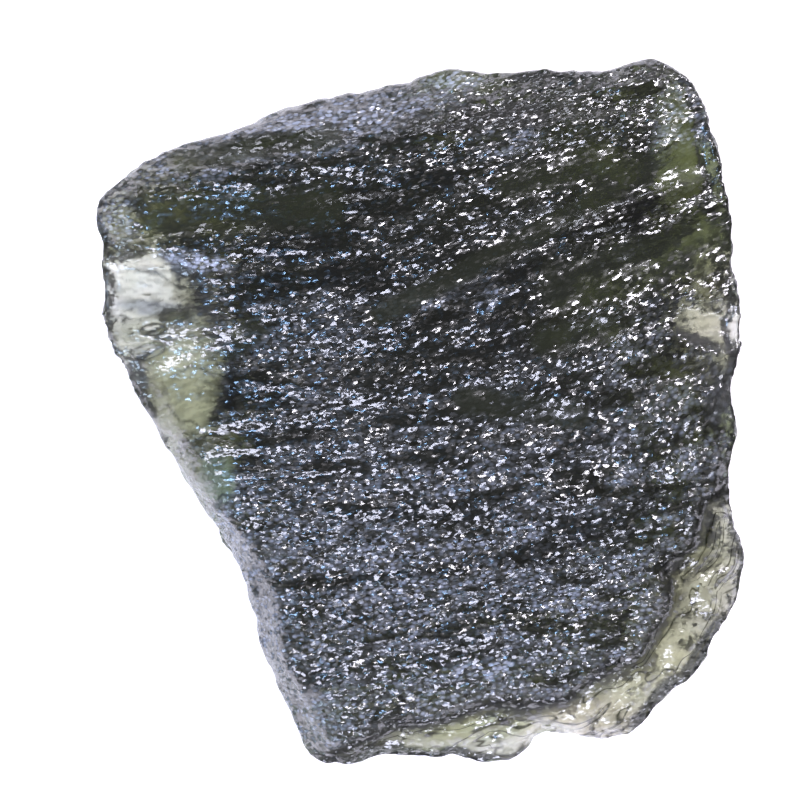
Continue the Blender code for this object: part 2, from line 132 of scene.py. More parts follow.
# Smooth broken places with hardly any scales: middle, reach along x and y, and how smooth
GLASSY_PLACES = [
    ((-7.55, 3.35), (1.50, 0.95), 0.85), ((-6.30, 0.70), (1.00, 1.30), 0.66),
    ((-7.00, 1.60), (1.70, 2.60), 0.50), ((8.10, 2.38), (1.15, 0.60), 0.70),
    ((-5.50, -1.90), (0.60, 0.80), 0.55), ((8.35, 0.90), (0.60, 1.30), 0.42),
]
GLASSY_FADE = (0.75, 1.25)
GLASSY_FLANGE = 0.64

# Thin places whose underside lets the light through: middle and reach along x and y
THIN_PLACES = [((-7.10, 2.20), (2.20, 4.20)), ((8.60, 2.40), (1.60, 2.00))]
THIN_FADE = (0.7, 1.3)

# Two oval pits by the left edge: middle, half-length, half-width, depth and turn in degrees
OVAL_PITS = [((-7.27, 2.25), 0.34, 0.16, 0.22, 8.0), ((-7.40, 1.66), 0.48, 0.21, 0.24, 12.0)]
# A ring of painted shade round each pit's edge: its place in the oval, its width and how dark it is
PIT_EDGE_PLACE = 0.95
PIT_EDGE_WIDTH = 0.20
PIT_EDGE_SHADE = 0.88

# Glittering bands along the rim, darkened by painted shade: middle, reach along x and y, and width, then how
# soft they end and how far the painted shade covers them and the lip of the break
RIM_BANDS = [
    ((7.60, -7.60), (1.90, 2.10), 0.42), ((0.40, -9.60), (3.00, 0.70), 0.30),
    ((8.80, 0.50), (0.90, 6.50), 0.08), ((-8.80, 2.00), (1.00, 4.50), 0.07),
]
RIM_FADE = (0.95, 1.25)
RIM_SOFTNESS = 0.12
RIM_SHADE_COVER = 0.97
LIP_SHADE_COVER = 0.85

# How much of the ripple shifts the edges of the patches, the rim bands and the fractures
PATCH_RIPPLE = 0.5
RIM_RIPPLE = 0.5
FRACTURE_RIPPLE = 0.15

# Pale matt patches: middle, half-length, half-width, turn in degrees and strength
HAZE_PATCHES = [
    ((-0.65, 8.20), 0.45, 0.28, 0.0, 0.9), ((2.40, 7.40), 0.90, 0.45, 10.0, 0.7),
    ((0.55, 3.15), 1.90, 0.36, 14.0, 0.6), ((1.70, 3.15), 0.75, 0.50, 0.0, 0.6),
    ((1.70, -7.00), 1.10, 0.45, 8.0, 0.9), ((-3.30, -8.30), 0.80, 0.70, 0.0, 0.8),
    ((-3.40, 7.60), 4.20, 0.75, 14.0, 1.0), ((-8.30, 5.20), 0.60, 1.00, 0.0, 0.6),
    ((7.20, 7.40), 0.80, 1.60, 0.0, 0.6), ((-6.30, 4.00), 0.75, 0.26, -8.0, 1.0),
    ((-4.70, -4.50), 0.50, 3.00, 20.0, 0.8), ((2.00, -6.60), 4.50, 1.60, 8.0, 0.45),
    ((6.20, 0.60), 1.80, 2.00, 15.0, 0.34), ((0.95, 9.15), 0.80, 0.38, 0.0, 1.0),
    ((-6.20, 4.05), 0.95, 0.32, -8.0, 1.8), ((-3.80, 1.60), 3.00, 2.60, 5.0, 0.26),
]
PATCH_FADE = (0.5, 1.5)

# Haze elsewhere: on the plateau, more towards its near part, where it also paints pale highlights, on steep
# skin, on shoulders and in the pits
HAZE_LEAST = 0.10
NEAR_HAZE_AND_HIGHLIGHT = 0.42
HAZE_NEAR_FADE = (-4.5, 1.5)
HAZE_STEEP = 0.05
HAZE_SHOULDER = 0.8
HAZE_PITS = 0.35
HAZE_PIT_DEPTH = 0.12

# How much of the haze the bands, gaps, smooth streaks and broken places take away
HAZE_LOSS_BANDS = 0.75
HAZE_LOSS_GAPS = 0.85
HAZE_LOSS_STREAKS = 0.8
HAZE_LOSS_GLASSY = 1.2

# What the glass tints the light with at its skin
DARK_TINT = np.array((0.170, 0.168, 0.115))
CLEAR_TINT = np.array((0.97, 0.97, 0.95))
WALL_TINT = np.array((0.19, 0.26, 0.09))
UNDER_TINT = np.array((0.92, 0.94, 0.84))
OLIVE_TINT = np.array((0.42, 0.45, 0.28))
# Near black, for the painted shade along the rim bands and the lip of the break
RIM_SHADE_TINT = np.array((0.012, 0.014, 0.020))
# Pale lilac of matt scales, also used for the painted highlights on them
HAZE_AND_HIGHLIGHT_TINT = (0.76, 0.82, 1.0, 1.0)
LINE_TINT = (0.03, 0.03, 0.02, 1.0)

# How these tints are laid on: clear glass, painted light on crests and painted shade in hollows, bands and
# smooth streaks
GLASSY_CLEARNESS = 1.25
CREST_PAINTED_LIGHT = 1.3
HOLLOW_PAINTED_SHADE = 0.9
BAND_DARKNESS = 0.35
OLIVE_COVER = 0.8

# Patches of tint: middle, half-length, half-width, turn in degrees and colour
TINT_PATCHES = [
    ((-7.20, 2.82), 1.15, 0.22, -4.0, (0.34, 0.37, 0.47)),
    ((-6.30, 0.70), 0.95, 1.20, 0.0, (0.93, 0.93, 0.74)),
    ((-5.50, -1.90), 0.55, 0.80, 0.0, (0.62, 0.86, 0.84)),
    ((7.70, -5.20), 1.10, 1.60, 0.0, (0.44, 0.43, 0.36)),
    ((4.60, -8.60), 1.70, 0.80, 12.0, (1.00, 0.86, 0.76)),
    ((1.70, -8.55), 1.50, 0.45, 5.0, (0.78, 0.80, 0.50)),
    ((6.60, -7.00), 1.20, 0.90, 45.0, (0.74, 0.72, 0.53)),
    ((7.80, 2.38), 1.20, 0.60, 0.0, (0.99, 0.96, 0.92)),
]
TINT_FADE = (0.65, 1.35)

# Finely streaked dark places: middle, half-length, half-width, turn in degrees and how dark
STREAKED_PLACES = [
    ((-7.10, 2.86), 1.30, 0.30, 8.0, 0.75), ((-7.60, 3.55), 1.40, 0.80, -12.0, 0.45),
    ((-6.20, 0.30), 1.00, 1.30, 20.0, 0.40), ((-5.45, 0.90), 0.45, 1.70, 0.0, 0.75),
    ((7.90, 2.38), 1.25, 0.60, 4.0, 0.50),
]

# Dark fracture lines in the thin glass: the points they run through, and their half-width
FRACTURES = [
    ([(-6.75, 0.94), (-6.23, 1.24), (-5.84, 1.16), (-5.51, 0.88)], 0.055),
    ([(-6.90, 0.20), (-6.55, -0.25), (-6.10, -0.30), (-5.80, -0.70)], 0.040),
    ([(-8.05, 3.95), (-7.20, 3.80), (-6.60, 3.45), (-5.90, 3.35)], 0.045),
    ([(-6.40, -0.90), (-5.90, -1.25), (-5.40, -1.20)], 0.050),
]
FRACTURE_DARKNESS = 0.88

# How the flange's flow lines are stretched along the break, across it and down, and the dark clouds
# among them, whose noise is stretched in the same way
LINES_STRETCH = (0.26, 1.25, 0.5)
CLOUDS = [(1.1, 1.0, 79.0), (0.45, 0.5, 83.0)]
CLOUD_RISE = (-0.4, 0.6)
CLOUD_DARKNESS = 0.35

# How many etched scales lie in a millimetre along the flow, across it in the far and near part, and down
CELLS_ALONG = 7.2
CELLS_ACROSS_FAR = 13.5
CELLS_ACROSS_NEAR = 11.5
CELLS_DEEP = 7.0
CELLS_CHANGE_Y = -2.6
CELLS_CHANGE_LENGTH = 0.8

# How far each scale may lean along x, y and z, in the far part and in the near part
FAR_REACH = np.array((0.42, 0.68, 0.46))
NEAR_REACH = np.array((0.84, 0.94, 0.76))
NEAR_REACH_FADE = (-3.6, -1.6)

# How calm the scales lie in smooth streaks, gaps and bands
CALM_STREAKS = 0.60
CALM_GAPS = 0.45
CALM_BANDS = 0.50

# How far the scales on the rim and the lip, and those on the walls, turn up towards the sky
RIM_LIFT = 0.85
RIM_LIFT_FADE = (0.60, 0.90)
WALL_LIFT = 0.40
WALL_LIFT_RISE = (-0.75, -0.35)

# The glass: its bulk, its surface, and what haze, the walls and their hollows change in it, with the painted
# highlight in each scale's middle
GLASS_IOR = 1.49
ABSORPTION_COLOUR = (0.465, 0.48, 0.22, 1.0)
ABSORPTION_DENSITY = 1000.0
ROUGHNESS = 0.28
HAZE_ROUGHNESS = 0.14
COAT_ROUGHNESS = 0.12
WALL_COAT_LOSS = 0.35
HOLLOW_COAT_LOSS = 0.45
CLEARNESS = 0.965
HAZE_DULLNESS = 0.26
WALL_DULLNESS = 0.11
SCALE_MIDDLE_HIGHLIGHT = 2.9

# Soft waves under the etched scales: how many to a scale, and how far they lean beside one
WAVE_SCALE = 0.62
WAVE_DETAIL = 1.0
WAVE_REACH = 1.7

# Thin dark flow lines on the flange: how fine and rough their noise is, how many levels of it they
# follow, and between which distances from a level their darkness ends
LINE_DETAIL = 2.0
LINE_ROUGHNESS = 0.60
LINE_COUNT = 8.0
LINE_EDGES = (0.02, 0.16)

# The floor
FLOOR_HALF_SIZE = 0.4
FLOOR_COLOUR = (0.90, 0.86, 0.88, 1.0)
FLOOR_GLOW_COLOUR = (1.0, 0.97, 0.99, 1.0)
FLOOR_GLOW = 0.54
FLOOR_ROUGHNESS = 0.6
FLOOR_SPECULAR = 0.2

# The sky: its strength low down and overhead, and the heights between which it changes
SKY_COLOUR = (0.95, 0.94, 1.0, 1.0)
SKY_LOW = 0.40
SKY_OVERHEAD = 0.05
SKY_LOW_HEIGHT = 0.15
SKY_OVERHEAD_HEIGHT = 0.60

# Soft lights: name, bearing and elevation in degrees, sides in metres, power in watts and colour
LIGHT_DISTANCE = 0.30
LIGHTS = [
    ("key", 60.0, 44.0, (0.10, 0.07), 0.68, (0.93, 0.90, 1.0)),
    ("front", 255.0, 54.0, (0.14, 0.10), 0.72, (0.79, 0.81, 1.0)),
    ("side", 192.0, 64.0, (0.04, 0.04), 0.16, (0.36, 0.60, 1.0)),
    ("far", 100.0, 32.0, (0.07, 0.05), 0.10, (0.84, 0.86, 1.0)),
    ("left", 212.0, 30.0, (0.07, 0.05), 0.14, (0.60, 0.76, 1.0)),
    ("near", 300.0, 32.0, (0.07, 0.05), 0.10, (0.84, 0.86, 1.0)),
]

# The photograph's frame
PIXEL = 0.0275 * MM
FRAME_PIXELS = 800
STONE_MIDDLE_PIXEL = (418.5, 412.0)
FOCUS_HEIGHT = 6.2 * MM
CAMERA_LENS = 160.0
CAMERA_SENSOR = 36.0
CAMERA_ELEVATION = 89.0
CAMERA_CLIP = 1.0 * MM


def smooth_step(values):
    """0 below 0, 1 above 1, and a smooth ramp between."""
    ramp = np.clip(values, 0.0, 1.0)
    return ramp * ramp * (3.0 - 2.0 * ramp)


def rise(values, limits):
    """0 below the lower limit, 1 above the upper one, and a smooth ramp between."""
    low, high = limits
    return smooth_step((values - low) / (high - low))


def fade(values, limits):
    """1 below the lower limit, 0 above the upper one, and a smooth ramp between."""
    low, high = limits
    return smooth_step((high - values) / (high - low))


def vertex_array(mesh, field="co"):
    values = np.zeros(len(mesh.vertices) * 3, np.float32)
    mesh.vertices.foreach_get(field, values)
    return values.reshape(-1, 3).astype(float)


def noise_at(places, scale, offset):
    """Smooth noise between -1 and 1 at each place; scale is one length or three."""
    scaled = places / np.array(scale) + np.array((0.0, 0.0, offset))
    return np.array([noise.noise(Vector(point)) for point in scaled.tolist()])


def layered_noise(places, layers):
    """The sum of several layers of noise."""
    return sum(share * noise_at(places, scale, offset) for scale, share, offset in layers)


def dimple_depth(places, spacing):
    """How deep the round dimples are at each place: 1 in a dimple's middle and 0 on the crests between."""
    cells = (places / spacing).tolist()
    nearest = np.array([noise.voronoi(Vector(point))[0][0] for point in cells])
    return np.maximum(1.0 - (nearest / DIMPLE_REACH) ** 2, 0.0)


def flow_points(places):
    """The places sheared so that the flow runs along x."""
    x, y, z = places.T
    slope = FLOW_SLOPE_NEAR + (FLOW_SLOPE_FAR - FLOW_SLOPE_NEAR) * rise(y, FLOW_SLOPE_RISE)
    past_bend = FLOW_BEND_LENGTH * np.log1p(np.exp((x - FLOW_BEND_PLACE) / FLOW_BEND_LENGTH))
    return np.column_stack([x, y - slope * past_bend, z])


def cell_points(flow):
    """Flow points stretched so that each scale or grain is one unit wide every way."""
    x, y, z = flow.T
    past = CELLS_CHANGE_LENGTH * np.log1p(np.exp((y - CELLS_CHANGE_Y) / CELLS_CHANGE_LENGTH))
    across = CELLS_ACROSS_NEAR * y + (CELLS_ACROSS_FAR - CELLS_ACROSS_NEAR) * past
    return np.column_stack([CELLS_ALONG * x, across, CELLS_DEEP * z])


def segment_distance(plan, start, end):
    """Distance from each plan point to a straight segment, and how far along it the nearest spot is."""
    start = np.array(start)
    span = np.array(end) - start
    along = np.clip((plan - start) @ span / (span @ span), 0.0, 1.0)
    return np.linalg.norm(plan - start - along[:, None] * span, axis=1), along


def inside_outline(plan, corners):
    """Which plan points lie inside a closed outline."""
    x, y = plan.T
    inside = np.zeros(len(plan), dtype=bool)
    for (x0, y0), (x1, y1) in zip(corners, corners[1:] + corners[:1]):
        if y0 != y1:
            inside ^= ((y0 > y) != (y1 > y)) & (x < x0 + (y - y0) * (x1 - x0) / (y1 - y0))
    return inside


def break_place(plan):
    """Each plan point's place along the break line and its distance in front of it, less than 0 behind."""
    best = np.full(len(plan), np.inf)
    place = np.zeros(len(plan))
    passed = 0.0
    for start, end in zip(BREAK_LINE[:-1], BREAK_LINE[1:]):
        distance, along = segment_distance(plan, start, end)
        length = math.dist(start, end)
        place = np.where(distance < best, passed + along * length, place)
        best = np.minimum(best, distance)
        passed += length
    first_y = BREAK_LINE[0][1]
    last_x = BREAK_LINE[-1][0]
    outer_corners = [(last_x, -OUTSIDE), (OUTSIDE, -OUTSIDE), (OUTSIDE, first_y)]
    in_front = inside_outline(plan, BREAK_LINE + outer_corners)
    return place, np.where(in_front, best, -best)


def reach_spread(plan, middle, reach):
    """How far out each plan point is in an oval along x and y: 0 in its middle and 1 on its edge."""
    return np.hypot(*((plan - np.array(middle)) / np.array(reach)).T)


def oval_spread(plan, middle, half_length, half_width, turn):
    """How far out each plan point is in a turned oval: 0 in its middle and 1 on its edge."""
    angle = math.radians(turn)
    x, y = (plan - np.array(middle)).T
    along = (x * math.cos(angle) + y * math.sin(angle)) / half_length
    aside = (y * math.cos(angle) - x * math.sin(angle)) / half_width
    return np.hypot(along, aside)


def streak_mask(plan):
    """1 in the smooth streaks, falling to 0 outside them."""
    mask = np.zeros(len(plan))
    for start, end, half_width in SMOOTH_STREAKS:
        distance = segment_distance(plan, start, end)[0]
        mask = np.maximum(mask, fade(distance / half_width, STREAK_FADE))
    return mask


def glassy_mask(plan):
    """How smooth the broken places are, falling to 0 around them."""
    mask = np.zeros(len(plan))
    for middle, reach, strength in GLASSY_PLACES:
        mask = np.maximum(mask, strength * fade(reach_spread(plan, middle, reach), GLASSY_FADE))
    return mask


def thin_mask(plan):
    """1 where the glass is thin by the left and right edges, falling to 0 around."""
    mask = np.zeros(len(plan))
    for middle, reach in THIN_PLACES:
        mask = np.maximum(mask, fade(reach_spread(plan, middle, reach), THIN_FADE))
    return mask


def patch_haze(plan):
    """How matt each plan point is, from the pale patches."""
    mask = np.zeros(len(plan))
    for middle, half_length, half_width, turn, strength in HAZE_PATCHES:
        spread = oval_spread(plan, middle, half_length, half_width, turn)
        mask = np.maximum(mask, strength * fade(spread, PATCH_FADE))
    return mask


def pit_shape(plan):
    """How deep the oval pits are at each plan point, and where the painted shade round their edges runs."""
    depth = np.zeros(len(plan))
    edge = np.zeros(len(plan))
    for middle, half_length, half_width, deepest, turn in OVAL_PITS:
        spread = oval_spread(plan, middle, half_length, half_width, turn)
        depth = np.maximum(depth, deepest * np.sqrt(np.maximum(1.0 - spread ** 2, 0.0)))
        edge = np.maximum(edge, np.exp(-((spread - PIT_EDGE_PLACE) / PIT_EDGE_WIDTH) ** 2))
    return depth, edge


def rim_distance(places, up):
    """How far each place is from the nearest upright skin, seen from above."""
    upright = np.nonzero(np.abs(up) < UPRIGHT_LIMIT)[0]
    tree = kdtree.KDTree(len(upright))
    for index in upright.tolist():
        tree.insert((places[index, 0], places[index, 1], 0.0), index)
    tree.balance()
    return np.array([tree.find((x, y, 0.0))[2] for x, y, _ in places.tolist()])


def rim_mask(skin):
    """1 in the bands along the rim that take painted shade, falling to 0 inside them and at their ends."""
    mask = np.zeros(len(skin.plan))
    to_rim = rim_distance(skin.places, skin.up) + RIM_RIPPLE * skin.ripple
    for middle, reach, width in RIM_BANDS:
        near_rim = smooth_step((width - to_rim) / RIM_SOFTNESS)
        mask = np.maximum(mask, near_rim * fade(reach_spread(skin.plan, middle, reach), RIM_FADE))
    return mask * rise(skin.up, SHOULDER_RISE)


def apply_modifiers(obj):
    graph = bpy.context.evaluated_depsgraph_get()
    made = bpy.data.meshes.new_from_object(obj.evaluated_get(graph))
    obj.modifiers.clear()
    old = obj.data
    obj.data = made
    bpy.data.meshes.remove(old)


def smooth_copy():
    """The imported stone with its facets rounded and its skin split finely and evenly."""
    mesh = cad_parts["moldavite"].data.copy()
    mesh.name = "moldavite_skin"
    shape = bmesh.new()
    shape.from_mesh(mesh)
    bmesh.ops.remove_doubles(shape, verts=shape.verts, dist=MERGE_DISTANCE)
    shape.to_mesh(mesh)
    shape.free()
    stone = bpy.data.objects.new("moldavite_skin", mesh)
    bpy.context.scene.collection.objects.link(stone)
    rounded = stone.modifiers.new("round", "SUBSURF")
    rounded.levels = ROUNDING_LEVELS
    rounded.render_levels = ROUNDING_LEVELS
    remesh = stone.modifiers.new("skin", "REMESH")
    remesh.mode = "VOXEL"
    remesh.voxel_size = SKIN_VOXEL
    apply_modifiers(stone)
    return stone


def thin_underside(stone):
    """Fewer faces where the stone faces down or sideways, so that the top keeps its fine skin."""
    normals = vertex_array(stone.data, "normal")
    group = stone.vertex_groups.new(name="underside")
    weight = fade(normals[:, 2], THINNED_FADE)
    for step in range(1, THINNING_STEPS + 1):
        chosen = np.nonzero(np.ceil(weight * THINNING_STEPS) == step)[0]
        group.add(chosen.tolist(), step / THINNING_STEPS, "REPLACE")
    faces = sum(len(polygon.vertices) - 2 for polygon in stone.data.polygons)
    thin = stone.modifiers.new("thin", "DECIMATE")
    thin.ratio = min(1.0, TRIANGLE_LIMIT / faces)
    thin.vertex_group = "underside"
    thin.vertex_group_factor = 1.0
    thin.use_collapse_triangulate = True
    apply_modifiers(stone)


def refine_pits(stone):
    """Split the faces round the oval pits, so that the pits keep their shape."""
    low, high = (np.array(corner) * MM for corner in FINE_CORNERS)
    shape = bmesh.new()
    shape.from_mesh(stone.data)
    for _ in range(FINE_SPLITS):
        edges = [
            edge for edge in shape.edges
            if all(low[axis] < vertex.co[axis] < high[axis] for vertex in edge.verts for axis in (0, 1))
            and edge.verts[0].normal.z > FINE_FACING
        ]
        bmesh.ops.subdivide_edges(shape, edges=edges, cuts=1, use_grid_fill=True)
        bmesh.ops.triangulate(shape, faces=[face for face in shape.faces if len(face.verts) > 3])
    shape.to_mesh(stone.data)
    shape.free()


def read_skin(stone):
    """The skin's places and normals, where they lie by the break, and their zones as masks from 0 to 1."""
    skin = SimpleNamespace()
    skin.places = vertex_array(stone.data) / MM
    skin.normals = vertex_array(stone.data, "normal")
    skin.up = skin.normals[:, 2]
    skin.plan = skin.places[:, :2]
    skin.flow = flow_points(skin.places)
    skin.ripple = layered_noise(skin.places, RIPPLE)
    skin.run, beyond = break_place(skin.plan)
    skin.beyond = beyond + skin.ripple
    skin.facing = rise(skin.up, TOP_RISE)
    skin.steep = 1.0 - np.maximum(skin.facing, fade(np.abs(skin.beyond), DROP_FADE))
    skin.plateau = (1.0 - skin.steep) * fade(skin.beyond, FOOT_RISE)
    skin.flange = skin.facing * rise(skin.beyond, FOOT_RISE)
    skin.lip = np.exp(-((skin.beyond - LIP_PLACE) / LIP_WIDTH) ** 2) * (1.0 - skin.steep)
    skin.shoulder = skin.steep * rise(skin.up, SHOULDER_RISE)
    skin.skirt = skin.steep * fade(skin.up, SKIRT_FADE)
    thin = np.maximum(thin_mask(skin.plan), rise(skin.beyond, THIN_FLANGE_RISE))
    skin.thin_below = fade(skin.up, BELOW_FADE) * thin
    return skin


def read_patterns(skin):
    """Mark where the skin has smooth streaks, broken places, gaps, bands, pits, dimples and rim bands."""
    ragged = rise(layered_noise(skin.places, RAGGED_EDGES), RAGGED_RISE)
    skin.streaks = streak_mask(skin.plan) * skin.plateau
    skin.glassy = np.maximum(glassy_mask(skin.plan) * skin.facing * ragged, GLASSY_FLANGE * skin.flange)
    skin.gaps = rise(layered_noise(skin.flow, GAPS), GAP_RISE) * skin.plateau
    skin.bands = rise(layered_noise(skin.flow, BANDS), BAND_RISE) * skin.plateau
    skin.pits, skin.pit_edges = pit_shape(skin.plan)
    skin.dimples = [dimple_depth(skin.places, spacing) for spacing, _ in WALL_DIMPLES]
    skin.cavity = sum(skin.dimples) / len(skin.dimples)
    skin.rim = rim_mask(skin)


def relief_height(skin):
    """How far each place moves along its normal: flow ridges on top, dimples and grains elsewhere."""
    ridges = np.zeros(len(skin.plan))
    for scale, height, offset in FINE_RIDGES:
        ridges += height * (1.0 - RIDGE_SHARPNESS * np.abs(noise_at(skin.flow, scale, offset)))
    grains = layered_noise(skin.places, WALL_GRAINS)
    dimples = sum(depth * (dimple - DIMPLE_MEAN) for (_, depth), dimple in zip(WALL_DIMPLES, skin.dimples))
    undercut = UPRIGHT_DIMPLES + (1.0 - UPRIGHT_DIMPLES) * fade(skin.up, UNDERCUT_FADE)
    worn = (1.0 - RIDGE_LOSS_STREAKS * skin.streaks) * (1.0 - RIDGE_LOSS_GLASSY * skin.glassy)
    height = ridges * skin.plateau * worn
    height = height + (grains - dimples * undercut) * skin.steep + FLANGE_GRAINS * grains * skin.flange
    return height * smooth_step(skin.places[:, 2] / RESTING_HEIGHT)


def add_relief(stone, skin):
    """Move the skin by its relief and sink the oval pits, with nothing below the floor."""
    moved = skin.places + skin.normals * relief_height(skin)[:, None]
    moved[:, 2] -= skin.pits * skin.facing
    moved[:, 2] = np.maximum(moved[:, 2], 0.0)
    stone.data.vertices.foreach_set("co", (moved * MM).astype(np.float32).ravel())
    stone.data.update()


def skin_haze_and_highlight(skin):
    """How matt the skin is: the patches and the haze elsewhere, which on the plateau's near part is partly
    painted highlight, less where it is smooth or dark.
    """
    patches = patch_haze(skin.plan)
    near = fade(skin.flow[:, 1], HAZE_NEAR_FADE)
    # The near part of the plateau gets more haze, partly as painted highlight
    haze = np.maximum(patches, HAZE_LEAST + NEAR_HAZE_AND_HIGHLIGHT * near) * skin.plateau
    haze = haze * (1.0 - HAZE_LOSS_BANDS * skin.bands)
    haze = haze * (1.0 - HAZE_LOSS_GAPS * skin.gaps) * (1.0 - HAZE_LOSS_STREAKS * skin.streaks)
    haze = haze + HAZE_STEEP * skin.steep + HAZE_SHOULDER * patches * skin.shoulder
    haze = haze * (1.0 - np.minimum(HAZE_LOSS_GLASSY * skin.glassy, 1.0))
    haze = haze * (1.0 - skin.lip) * (1.0 - skin.rim)
    return np.maximum(haze, HAZE_PITS * smooth_step(skin.pits / HAZE_PIT_DEPTH))


def mixed(tint, other, weight):
    """The tint, going over to another one where the weight is 1."""
    return tint + (other - tint) * weight[:, None]


def darkened(tint, darkness):
    """The tint with a share of its light taken away: none where the darkness is 0, all where it is 1."""
    return tint * (1.0 - darkness)[:, None]


def base_tint(skin, pale):
    """The tint before its patches: dark on top, clear where it is pale, and on the walls with painted light on
    the crests and painted shade in the dimples.
    """
    tint = mixed(DARK_TINT, CLEAR_TINT, pale)
    wall = mixed(WALL_TINT, UNDER_TINT, skin.thin_below)
    # Painted light on the walls' crests and painted shade in their dimples
    wall = wall * (CREST_PAINTED_LIGHT - HOLLOW_PAINTED_SHADE * skin.cavity)[:, None]
    tint = darkened(mixed(tint, wall, skin.steep), BAND_DARKNESS * skin.bands)
    return mixed(tint, OLIVE_TINT, OLIVE_COVER * skin.streaks)


def add_tint_patches(tint, skin, pale):
    """Lay the patches of colour and the finely streaked dark places over the tint."""
    rippled = skin.plan + PATCH_RIPPLE * skin.ripple[:, None]
    for middle, half_length, half_width, turn, colour in TINT_PATCHES:
        spread = oval_spread(rippled, middle, half_length, half_width, turn)
        tint = mixed(tint, np.array(colour), fade(spread, TINT_FADE) * skin.facing * pale)
    x, y, z = skin.places.T
    for middle, half_length, half_width, turn, darkest in STREAKED_PLACES:
        spread = oval_spread(rippled, middle, half_length, half_width, turn)
        turned = np.column_stack([x, y - math.tan(math.radians(turn)) * x, z])
        streaks = rise(layered_noise(turned, FINE_STREAKS), FINE_STREAK_RISE)
        tint = darkened(tint, darkest * fade(spread, PATCH_FADE) * skin.facing * streaks)
    return tint


def add_fractures(tint, skin):
    """Darken the tint along the fracture lines."""
    rippled = skin.plan + FRACTURE_RIPPLE * skin.ripple[:, None]
    for corners, half_width in FRACTURES:
        for start, end in zip(corners[:-1], corners[1:]):
            distance = segment_distance(rippled, start, end)[0]
            line = np.exp(-(distance / half_width) ** 2)
            tint = darkened(tint, FRACTURE_DARKNESS * line * skin.facing)
    return tint


def skin_tint(skin, lined):
    """What the glass tints the light with at each place of the skin."""
    pale = np.maximum(np.minimum(GLASSY_CLEARNESS * skin.glassy, 1.0), skin.steep)
    tint = add_tint_patches(base_tint(skin, pale), skin, pale)
    clouds = rise(layered_noise(lined, CLOUDS), CLOUD_RISE)
    tint = darkened(tint, CLOUD_DARKNESS * skin.flange * clouds)
    # Painted shade along the rim bands and the lip of the break
    tint = mixed(tint, RIM_SHADE_TINT, np.maximum(RIM_SHADE_COVER * skin.rim, LIP_SHADE_COVER * skin.lip))
    # Painted shade round the edges of the oval pits
    tint = darkened(tint, PIT_EDGE_SHADE * skin.pit_edges * skin.facing)
    return np.clip(add_fractures(tint, skin), 0.0, 1.0)


def skin_tilt(skin):
    """How far the scales may lean along x, y and z at each place of the skin."""
    calm = np.maximum(np.maximum(CALM_STREAKS * skin.streaks, skin.glassy), CALM_GAPS * skin.gaps)
    calm = np.maximum(calm, CALM_BANDS * skin.bands) * (1.0 - skin.rim)
    near = fade(skin.flow[:, 1], NEAR_REACH_FADE)
    return mixed(FAR_REACH, NEAR_REACH, near) * (1.0 - calm)[:, None]


def skin_lift(skin):
    """How far the scales turn up towards the sky at each place of the skin."""
    edges = np.maximum(skin.rim, skin.lip) * fade(skin.up, RIM_LIFT_FADE)
    return RIM_LIFT * edges + WALL_LIFT * skin.skirt * rise(skin.up, WALL_LIFT_RISE)


def store_attribute(mesh, name, values):
    kind = "FLOAT_VECTOR" if values.ndim == 2 else "FLOAT"
    layer = mesh.attributes.new(name, kind, "POINT")
    layer.data.foreach_set("vector" if values.ndim == 2 else "value", values.astype(np.float32).ravel())


def store_skin(mesh, skin):
    """Keep what the glass reads from the skin as attributes of the mesh."""
    along, across, down = LINES_STRETCH
    lined = np.column_stack([along * skin.run, across * skin.beyond, down * skin.places[:, 2]])
    store_attribute(mesh, "tilt", skin_tilt(skin))
    store_attribute(mesh, "tint", skin_tint(skin, lined))
    store_attribute(mesh, "haze", skin_haze_and_highlight(skin))
    store_attribute(mesh, "lined", lined)
    store_attribute(mesh, "lines", skin.flange)
    store_attribute(mesh, "lift", skin_lift(skin))
    store_attribute(mesh, "skirt", skin.skirt * (1.0 - skin.thin_below))
    store_attribute(mesh, "cavity", skin.cavity)
    store_attribute(mesh, "cells", cell_points(skin.flow))


class Nodes:
    """Small helpers for building one node tree."""

    def __init__(self, material):
        material.use_nodes = True
        self.tree = material.node_tree
        self.shader = self.tree.nodes["Principled BSDF"]
        self.output = self.tree.nodes["Material Output"]

    def add(self, kind, **settings):
        node = self.tree.nodes.new(kind)
        for name, value in settings.items():
            setattr(node, name, value)
        return node

    def link(self, source, target):
        self.tree.links.new(source, target)

    def fill(self, sockets, values):
        """Give each socket its constant, or link it to the output that comes in the constant's place."""
        for socket, value in zip(sockets, values):
            if isinstance(value, bpy.types.NodeSocket):
                self.link(value, socket)
            else:
                socket.default_value = value

    def attribute(self, name, output="Fac"):
        return self.add("ShaderNodeAttribute", attribute_name=name).outputs[output]

    def math(self, operation, *values):
        node = self.add("ShaderNodeMath", operation=operation)
        self.fill(node.inputs, values)
        return node.outputs[0]

    def vector(self, operation, *values):
        node = self.add("ShaderNodeVectorMath", operation=operation)
        self.fill(node.inputs, values)
        return node.outputs[0]

    def noise(self, vector, scale, detail, roughness=0.5):
        node = self.add("ShaderNodeTexNoise")
        node.inputs["Scale"].default_value = scale
        node.inputs["Detail"].default_value = detail
        node.inputs["Roughness"].default_value = roughness
        self.link(vector, node.inputs["Vector"])
        return node

    def ramp(self, value, limits, first, last, kind="LINEAR"):
        """First below the lower limit, last above the upper one, and a ramp between."""
        node = self.add("ShaderNodeMapRange", interpolation_type=kind)
        self.fill(node.inputs, (value, *limits, first, last))
        return node.outputs["Result"]

    def blended(self, factor, first, second):
        """The first colour, or the second one where the factor is 1."""
        node = self.add("ShaderNodeMix", data_type="RGBA")
        self.link(factor, node.inputs["Factor"])
        self.fill([socket for socket in node.inputs if socket.type == "RGBA"], (first, second))
        return next(socket for socket in node.outputs if socket.type == "RGBA")


